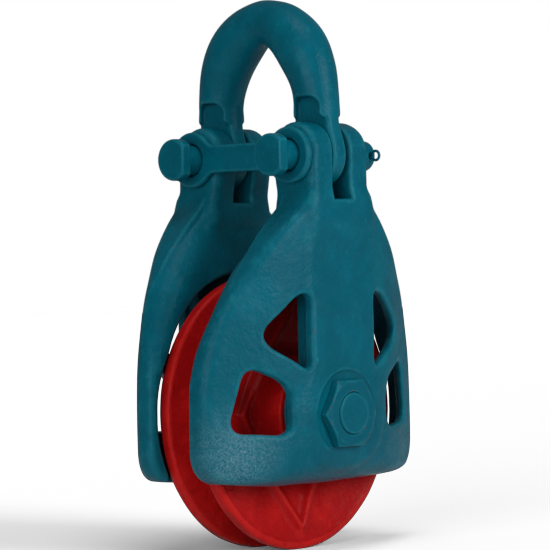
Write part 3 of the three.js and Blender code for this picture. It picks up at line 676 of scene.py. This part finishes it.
def make_shackle_bolts():
    head_inner = HEAD_THICKNESS - HEAD_OUTER
    profile = [(0, -HEAD_OUTER), (HEAD_RADIUS - 2.2, -HEAD_OUTER), (HEAD_RADIUS - 0.6, -HEAD_OUTER + 1.0),
               (HEAD_RADIUS, -HEAD_OUTER + 2.4), (HEAD_RADIUS, head_inner), (BOLT_RADIUS, head_inner),
               (BOLT_RADIUS, TAIL_END - 1.8), (BOLT_RADIUS - 1.6, TAIL_END), (0, TAIL_END)]
    for name, side in (("front_shackle_bolt", -1), ("rear_shackle_bolt", 1)):
        place = side * BOLT_Y
        space = Space((-74, place - 23, BOLT_Z - 23), (73, place + 23, BOLT_Z + 23), 0.8)
        y, z = space.y - place, space.z - BOLT_Z
        field = space.turned(profile, np.sqrt(y ** 2 + z ** 2), space.x, 60)
        flat = np.maximum(y + BOLT_RADIUS, space.x - head_inner)
        field = soft_max(field, -flat, 1.2)
        hole = 2 * COTTER_WIRE + GAP - np.sqrt((space.x - COTTER_STATION) ** 2 + z ** 2)
        field = soft_max(field, hole, 0.8) + space.lumps(17, 26, 0.1)
        mesh = skin_mesh(name + "_forging", space, field)
        new_piece(name + "_forging", mesh, name, fastener_paint)


def wire_mesh(name, points, radius):
    """A round wire along a list of points, with rounded tips."""
    curve = bpy.data.curves.new(name, "CURVE")
    curve.dimensions = "3D"
    curve.bevel_depth = radius
    curve.bevel_resolution = 3
    curve.use_fill_caps = True
    spline = curve.splines.new("POLY")
    spline.points.add(len(points) - 1)
    for target, point in zip(spline.points, points):
        target.co = (*point, 1.0)
    maker = bpy.data.objects.new(name, curve)
    bpy.context.scene.collection.objects.link(maker)
    mesh = bpy.data.meshes.new_from_object(maker.evaluated_get(bpy.context.evaluated_depsgraph_get()))
    bpy.data.objects.remove(maker)
    mesh.name = name
    mesh.shade_smooth()
    mark_edges(mesh, 0.001)
    return mesh


def cotter_points():
    """One wire doubled back on itself: a splayed leg, a round eye, and the other leg."""
    half = COTTER_WIRE + 0.1
    eye = 4.3
    neck = -BOLT_RADIUS - 1.5
    reach = BOLT_RADIUS + 9
    opening = math.asin(half / eye)
    centre = neck - eye * math.cos(opening)
    leg = []
    for y in np.linspace(reach, neck, 24):
        splay = max(0.0, y - BOLT_RADIUS - 1) ** 2 / 18
        leg.append((half + splay, y))
    ring = [(eye * math.sin(a), centre + eye * math.cos(a))
            for a in np.linspace(opening, 2 * math.pi - opening, 40)]
    return leg + ring[1:-1] + [(-x, y) for x, y in reversed(leg)]


def make_cotters():
    for name, side in (("front_cotter_pin", -1), ("rear_cotter_pin", 1)):
        offset = Vector((COTTER_STATION, side * BOLT_Y, BOLT_Z)) * MM + PIN_PLACE
        points = [Vector((0, y, z)) * MM + offset for z, y in cotter_points()]
        mesh = wire_mesh(name + "_wire", points, COTTER_WIRE * MM)
        new_piece(name + "_wire", mesh, name, fastener_paint)


# ---- Centre pin and nut ----

def hexagon_outline():
    corner = HEX_FLATS / math.sqrt(3)
    return [(corner * math.cos(i * math.pi / 3), corner * math.sin(i * math.pi / 3)) for i in range(6)]


def hexagon_field(s, low, high, outer_low):
    """A hexagon along Y with its outer corners turned off by a cone."""
    field = polygon_distance(hexagon_outline(), s.x, s.z)
    field = soft_max(field, np.maximum(low - s.y, s.y - high), 0.8)
    inward = s.y - low if outer_low else high - s.y
    radius = np.sqrt(s.x ** 2 + s.z ** 2)
    cone = (radius - HEX_FLATS / 2 + 0.8 - inward * 1.9) * 0.46
    return soft_max(field, cone, 0.8)


def make_centre_pin():
    head_inner = SPOTFACE_Y + GAP
    space = Space((-37, -99, -33), (37, 98, 33), 0.9)
    s = space
    radius = np.sqrt(s.x ** 2 + s.z ** 2)
    shank = soft_max(radius - PIN_RADIUS, np.maximum(-PIN_END - s.y, s.y - head_inner - 2), 1.6)
    field = soft_min(shank, hexagon_field(s, head_inner, HEAD_FACE, False), 0.8)
    recess = np.maximum(radius - GREASE_RECESS, HEAD_FACE - GREASE_DEPTH - s.y)
    field = soft_max(field, -recess, 0.8)
    field = soft_max(field, -np.maximum(radius - GREASE_BORE, -4 - s.y), 0.6)
    cross = np.maximum(np.sqrt(s.x ** 2 + s.y ** 2) - GREASE_CROSS, -s.z)
    field = soft_max(field, -cross, 0.6) + s.lumps(23, 24, 0.08)
    mesh = skin_mesh("centre_pin_forging", space, field)
    new_piece("centre_pin_forging", mesh, "centre_pin", fastener_paint)


def make_centre_nut():
    space = Space((-38, -98, -34), (38, -84, 34), 0.7)
    radius = np.sqrt(space.x ** 2 + space.z ** 2)
    field = hexagon_field(space, -NUT_FACE, -SPOTFACE_Y - GAP, True)
    field = soft_max(field, PIN_RADIUS + GAP - radius, 1.0) + space.lumps(29, 22, 0.1)
    mesh = skin_mesh("centre_pin_nut_forging", space, field)
    new_piece("centre_pin_nut_forging", mesh, "centre_pin_nut", nut_paint)


# ---- Sheave ----

def sheave_profile():
    half = [(HUB_RADIUS, HUB_HALF), (HUB_RADIUS + 1, WEB_HALF + 15), (HUB_RADIUS + 4, WEB_HALF + 5),
            (WEB_INNER, WEB_HALF), (WEB_RIM, SHEAVE_HALF - 2), (WEB_RIM + 1.2, SHEAVE_HALF),
            (SHEAVE_RADIUS - 1.5, SHEAVE_HALF), (SHEAVE_RADIUS, SHEAVE_HALF - 1.5)]
    return [(0, HUB_HALF), *half, *[(r, -y) for r, y in reversed(half)], (0, -HUB_HALF)]


def groove_profile():
    centre = TREAD_RADIUS + GROOVE_RADIUS
    flare = math.atan2(GROOVE_MOUTH - GROOVE_RADIUS, SHEAVE_RADIUS - centre)
    bottom = arc((centre, 0), GROOVE_RADIUS, math.pi / 2 + flare, 1.5 * math.pi - flare, 20)
    return [(SHEAVE_RADIUS + 20, GROOVE_MOUTH + 4.5), (SHEAVE_RADIUS, GROOVE_MOUTH), *bottom,
            (SHEAVE_RADIUS, -GROOVE_MOUTH), (SHEAVE_RADIUS + 20, -GROOVE_MOUTH - 4.5)]


def rib_field(s):
    """Two pointed ribs a side, each a low V of two rounded ridges that run from hub to rim."""
    radius = np.sqrt(s.x ** 2 + s.z ** 2)
    share = np.clip((radius - WEB_INNER) / (WEB_RIM - WEB_INNER), 0, 1)
    rise = 0
    for i in range(RIB_COUNT):
        turn = 2 * math.pi * i / RIB_COUNT
        inward = RIB_TIP + s.z * math.cos(turn) + s.x * math.sin(turn)
        across = np.abs(s.x * math.cos(turn) - s.z * math.sin(turn))
        off = (across - RIB_FLARE * np.maximum(inward - RIB_STEM, 0)) * math.cos(math.atan(RIB_FLARE))
        grown = np.clip(inward / RIB_FADE, 0, 1) * (inward < RIB_TIP)
        ridge = RIB_RISE * np.exp(-(off / RIDGE_WIDTH) ** 2)
        floor = 0.35 * RIB_RISE / (1 + np.exp(np.clip(off / 2.5, -30, 30)))
        rise = np.maximum(rise, grown * (ridge + floor))
    top = WEB_HALF + (SHEAVE_HALF - 2 - WEB_HALF) * share + rise
    return np.maximum(np.abs(s.y) - top, radius - WEB_RIM) * 0.85


def make_sheave():
    space = Space((-130, -54, -130), (130, 54, 130), 1.3)
    s = space
    radius = np.sqrt(s.x ** 2 + s.z ** 2)
    field = s.turned(sheave_profile(), radius, s.y, 150)
    field = soft_min(field, rib_field(s), 5)
    groove = s.turned(groove_profile(), radius, s.y, 150)
    field = soft_max(field, -groove, 2.5) + s.lumps(37, 45, 0.15)
    seat = np.maximum(radius - CUP_RADIUS - GAP, CUP_START - GAP - np.abs(s.y))
    bore = np.minimum(seat, radius - HUB_SHOULDER)
    field = soft_max(field, -bore, 1.5)
    mesh = skin_mesh("sheave_wheel_casting", space, field)
    new_piece("sheave_wheel_casting", mesh, "sheave", sheave_paint)


# ---- Bearings, seals, spacers and grease fitting ----

def turned_mesh(name, profile, segments, place=Matrix.Identity(4), soften=0.35):
    """A part turned about Y from a closed profile of (radius, station), its edges softened."""
    bm = bmesh.new()
    ring = [bm.verts.new((r * MM, s * MM, 0)) for r, s in profile]
    edges = [bm.edges.new(pair) for pair in zip(ring, ring[1:] + ring[:1])]
    bmesh.ops.spin(bm, geom=ring + edges, axis=(0, 1, 0), cent=(0, 0, 0),
                   angle=2 * math.pi, steps=segments, use_merge=True)
    bmesh.ops.remove_doubles(bm, verts=bm.verts, dist=1e-7)
    bmesh.ops.dissolve_degenerate(bm, dist=1e-7, edges=bm.edges)
    bmesh.ops.recalc_face_normals(bm, faces=bm.faces)
    sharp = [e for e in bm.edges if len(e.link_faces) == 2 and e.calc_face_angle() > 0.6]
    bmesh.ops.bevel(bm, geom=sharp, offset=soften * MM, segments=2, affect="EDGES", clamp_overlap=True)
    bm.transform(Matrix.Translation(PIN_PLACE) @ place)
    mesh = bpy.data.meshes.new(name)
    bm.to_mesh(mesh)
    bm.free()
    mesh.shade_smooth()
    mesh.set_sharp_from_angle(angle=0.7)
    return mesh


def race_radius(station, offset):
    """The pin's distance from a raceway at a station, `offset` to one side of the rollers."""
    angle = ROLLER_TILT + (0 if offset == 0 else math.copysign(ROLLER_TAPER, offset))
    touch = ROLLER_STATION - offset * math.sin(ROLLER_TILT)
    return ROLLER_PITCH + offset * math.cos(ROLLER_TILT) + math.tan(angle) * (station - touch)


RACE = ROLLER_MEAN + ROLLER_GAP
CUP_PROFILE = [(race_radius(CUP_START, RACE), CUP_START), (CUP_RADIUS, CUP_START),
               (CUP_RADIUS, CUP_END), (race_radius(CUP_END, RACE), CUP_END)]
CONE_PROFILE = [(PIN_RADIUS + GAP, CONE_START), (CONE_LIP_RADIUS, CONE_START), (CONE_LIP_RADIUS, RACE_LOW),
                (race_radius(RACE_LOW, -RACE), RACE_LOW), (race_radius(RACE_HIGH, -RACE), RACE_HIGH),
                (CONE_RIB_RADIUS, RACE_HIGH), (CONE_RIB_RADIUS, CONE_END), (PIN_RADIUS + GAP, CONE_END)]
SEAL_PROFILE = [(26.5, 46.7), (29.5, SEAL_START), (34, SEAL_START), (34, 46.4), (CUP_RADIUS, 46.4),
                (CUP_RADIUS, SEAL_END), (28, SEAL_END), (26.5, 49.8)]
SPACER_PROFILE = [(PIN_RADIUS + GAP, CONE_END + GAP), (SPACER_RADIUS, CONE_END + GAP),
                  (SPACER_RADIUS, BOSS_Y - GAP), (PIN_RADIUS + GAP, BOSS_Y - GAP)]


def roller_place(angle):
    """Where a roller lies round the pin, on the +Y side."""
    lean = Matrix.Rotation(-ROLLER_TILT, 4, "Z")
    out = Matrix.Translation(Vector((ROLLER_PITCH, ROLLER_STATION, 0)) * MM)
    return Matrix.Rotation(angle, 4, "Y") @ out @ lean


def make_rollers(place, turn):
    half = ROLLER_LENGTH / 2
    spread = math.tan(ROLLER_TAPER) * half
    profile = [(0, -half), (ROLLER_MEAN - spread, -half), (ROLLER_MEAN + spread, half), (0, half)]
    for i in range(ROLLER_COUNT):
        name = f"{place}_roller_{i + 1:02d}"
        place_matrix = turn @ roller_place(2 * math.pi * i / ROLLER_COUNT)
        mesh = turned_mesh(name + "_ground", profile, 28, place_matrix)
        new_piece(name + "_ground", mesh, name, bearing_steel)


def cage_field(s):
    """A conical shell with a pocket for each roller."""
    radius = np.sqrt(s.x ** 2 + s.z ** 2)
    middle = ROLLER_PITCH + math.tan(ROLLER_TILT) * (s.y - ROLLER_STATION)
    field = (np.abs(radius - middle) - CAGE_HALF) * math.cos(ROLLER_TILT)
    field = soft_max(field, np.maximum(CAGE_START - s.y, s.y - CAGE_END), 0.8)
    for i in range(ROLLER_COUNT):
        turn = 2 * math.pi * i / ROLLER_COUNT
        out = s.x * math.cos(turn) - s.z * math.sin(turn) - ROLLER_PITCH
        across = s.x * math.sin(turn) + s.z * math.cos(turn)
        rise = s.y - ROLLER_STATION
        along = rise * math.cos(ROLLER_TILT) + out * math.sin(ROLLER_TILT)
        off = out * math.cos(ROLLER_TILT) - rise * math.sin(ROLLER_TILT)
        size = ROLLER_MEAN + GAP + math.tan(ROLLER_TAPER) * along
        pocket = np.maximum(np.sqrt(across ** 2 + off ** 2) - size, np.abs(along) - ROLLER_LENGTH / 2 - GAP)
        field = soft_max(field, -pocket, 0.6)
    return field


def make_bearings():
    cage_space = Space((-36, 16.5, -36), (36, 43, 36), 0.6)
    cage = cage_field(cage_space)
    for place, angle in (("front", math.pi), ("rear", 0.0)):
        turn = Matrix.Rotation(angle, 4, "Z")
        parts = (("bearing_cup", CUP_PROFILE, bearing_steel, "bearing_steel"),
                 ("bearing_cone", CONE_PROFILE, bearing_steel, "bearing_steel"),
                 ("seal", SEAL_PROFILE, seal_rubber, "seal_rubber"),
                 ("side_spacer", SPACER_PROFILE, spacer_steel, "spacer_steel"))
        for part, profile, material, slot in parts:
            node = f"{place}_{part}"
            mesh = turned_mesh(node + "_turned", profile, 96, turn)
            new_piece(node + "_turned", mesh, node, material)
        mesh = skin_mesh(f"{place}_bearing_cage_pressed", cage_space, cage, angle)
        new_piece(mesh.name, mesh, f"{place}_bearing_cage", cage_steel)
        make_rollers(place, turn)


def make_small_turned():
    seat = HEAD_FACE - GREASE_DEPTH
    fitting = [(0, seat - 8), (2.65, seat - 8), (2.65, seat + 0.35), (4.8, seat + 0.35), (4.8, seat + 2.2),
               (2.2, seat + 3), (3.1, seat + 4.2), (2, seat + 5.2), (0, seat + 5.2)]
    mesh = turned_mesh("grease_fitting_turned", fitting, 48, soften=0.15)
    new_piece("grease_fitting_turned", mesh, "grease_fitting", brass)
    space = Space((-27, -18.5, -27), (27, 18.5, 27), 0.7)
    radius = np.sqrt(space.x ** 2 + space.z ** 2)
    wall = np.maximum(radius - CONE_SPACER_RADIUS, PIN_RADIUS + GAP - radius)
    field = soft_max(wall, np.abs(space.y) - CONE_START + GAP, 1.2)
    hole = np.maximum(np.sqrt(space.x ** 2 + space.y ** 2) - GREASE_CROSS, -space.z)
    mesh = skin_mesh("cone_spacer_turned", space, soft_max(field, -hole, 0.6))
    new_piece("cone_spacer_turned", mesh, "cone_spacer", spacer_steel)


make_cheeks()
make_shackle()
make_link_plate()
make_shackle_bolts()
make_cotters()
make_centre_pin()
make_centre_nut()
make_sheave()
make_bearings()
make_small_turned()


# ---- Studio ----

# The backdrop looks white to the camera, and lights the block only dimly.
SURROUND_STRENGTH = 0.16
# Name, place in m, size in m and power in W
LIGHTS = [("key_front", (0.3, -2.6, 0.6), 1.6, 46), ("top", (-0.4, -0.6, 2.2), 1.3, 16),
          ("fill_left", (-2.6, -0.9, 0.2), 2.0, 34)]


def make_floor():
    low = cad_box[0].z
    bpy.ops.mesh.primitive_circle_add(vertices=128, radius=14, fill_type="NGON", location=(0, 0, low))
    floor = bpy.context.object
    floor.name = "studio_floor"
    floor.is_shadow_catcher = True
    f = Finish("studio_floor", roughness=0.9)
    colour = f.mix(f.spread(f.noise(0.6, 2), 0.3, 0.7), (0.86, 0.86, 0.86), (0.88, 0.88, 0.88))
    floor.data.materials.append(f.finish(colour))


def area_light(name, place, aim, size, power):
    data = bpy.data.lights.new(name, "AREA")
    data.shape = "DISK"
    data.size = size
    data.energy = power
    light = bpy.data.objects.new(name, data)
    bpy.context.scene.collection.objects.link(light)
    light.location = place
    light.rotation_mode = "QUATERNION"
    light.rotation_quaternion = (Vector(aim) - Vector(place)).to_track_quat("-Z", "Y")


def make_studio():
    world = bpy.data.worlds.new("studio")
    bpy.context.scene.world = world
    world.use_nodes = True
    nodes, links = world.node_tree.nodes, world.node_tree.links
    backdrop = nodes["Background"]
    backdrop.inputs["Color"].default_value = (1, 1, 1, 1)
    backdrop.inputs["Strength"].default_value = 1.0
    surround = nodes.new("ShaderNodeBackground")
    surround.inputs["Color"].default_value = (1, 1, 1, 1)
    surround.inputs["Strength"].default_value = SURROUND_STRENGTH
    seen, mix = nodes.new("ShaderNodeLightPath"), nodes.new("ShaderNodeMixShader")
    links.new(seen.outputs["Is Camera Ray"], mix.inputs["Fac"])
    links.new(surround.outputs[0], mix.inputs[1])
    links.new(backdrop.outputs[0], mix.inputs[2])
    links.new(mix.outputs[0], nodes["World Output"].inputs["Surface"])
    for name, place, size, power in LIGHTS:
        area_light(name, place, (0, 0, -0.25), size, power)
    bpy.context.scene.view_settings.view_transform = "Standard"
    make_floor()


SENSOR_WIDTH, LENS = 36.0, 36.0 * 2804 / 550
VIEW_AZIMUTH, VIEW_ELEVATION, VIEW_TILT = math.radians(47.35), math.radians(-1.13), math.radians(1.8)
VIEW_DISTANCE, VIEW_TARGET = 2618 * MM, Vector((-2.8, 0, 127.0)) * MM


def make_camera():
    """Long lens from the bolt-head side, in line with the block's lower half and tilted with it."""
    azimuth, elevation = VIEW_AZIMUTH, VIEW_ELEVATION
    lean = Matrix.Rotation(VIEW_TILT, 3, "Y")
    back = Vector((-math.sin(azimuth) * math.cos(elevation), -math.cos(azimuth) * math.cos(elevation),
                   math.sin(elevation)))
    right = Vector((math.cos(azimuth), -math.sin(azimuth), 0))
    up = back.cross(right)
    place = lean @ (VIEW_TARGET + back * VIEW_DISTANCE) + PIN_PLACE
    axes = Matrix([lean @ right, lean @ up, lean @ back]).transposed()
    data = bpy.data.cameras.new("camera")
    data.sensor_width = SENSOR_WIDTH
    data.lens = LENS
    data.clip_end = 50
    camera = bpy.data.objects.new("camera", data)
    bpy.context.scene.collection.objects.link(camera)
    camera.matrix_world = Matrix.Translation(place) @ axes.to_4x4()
    bpy.context.scene.camera = camera


make_studio()
make_camera()
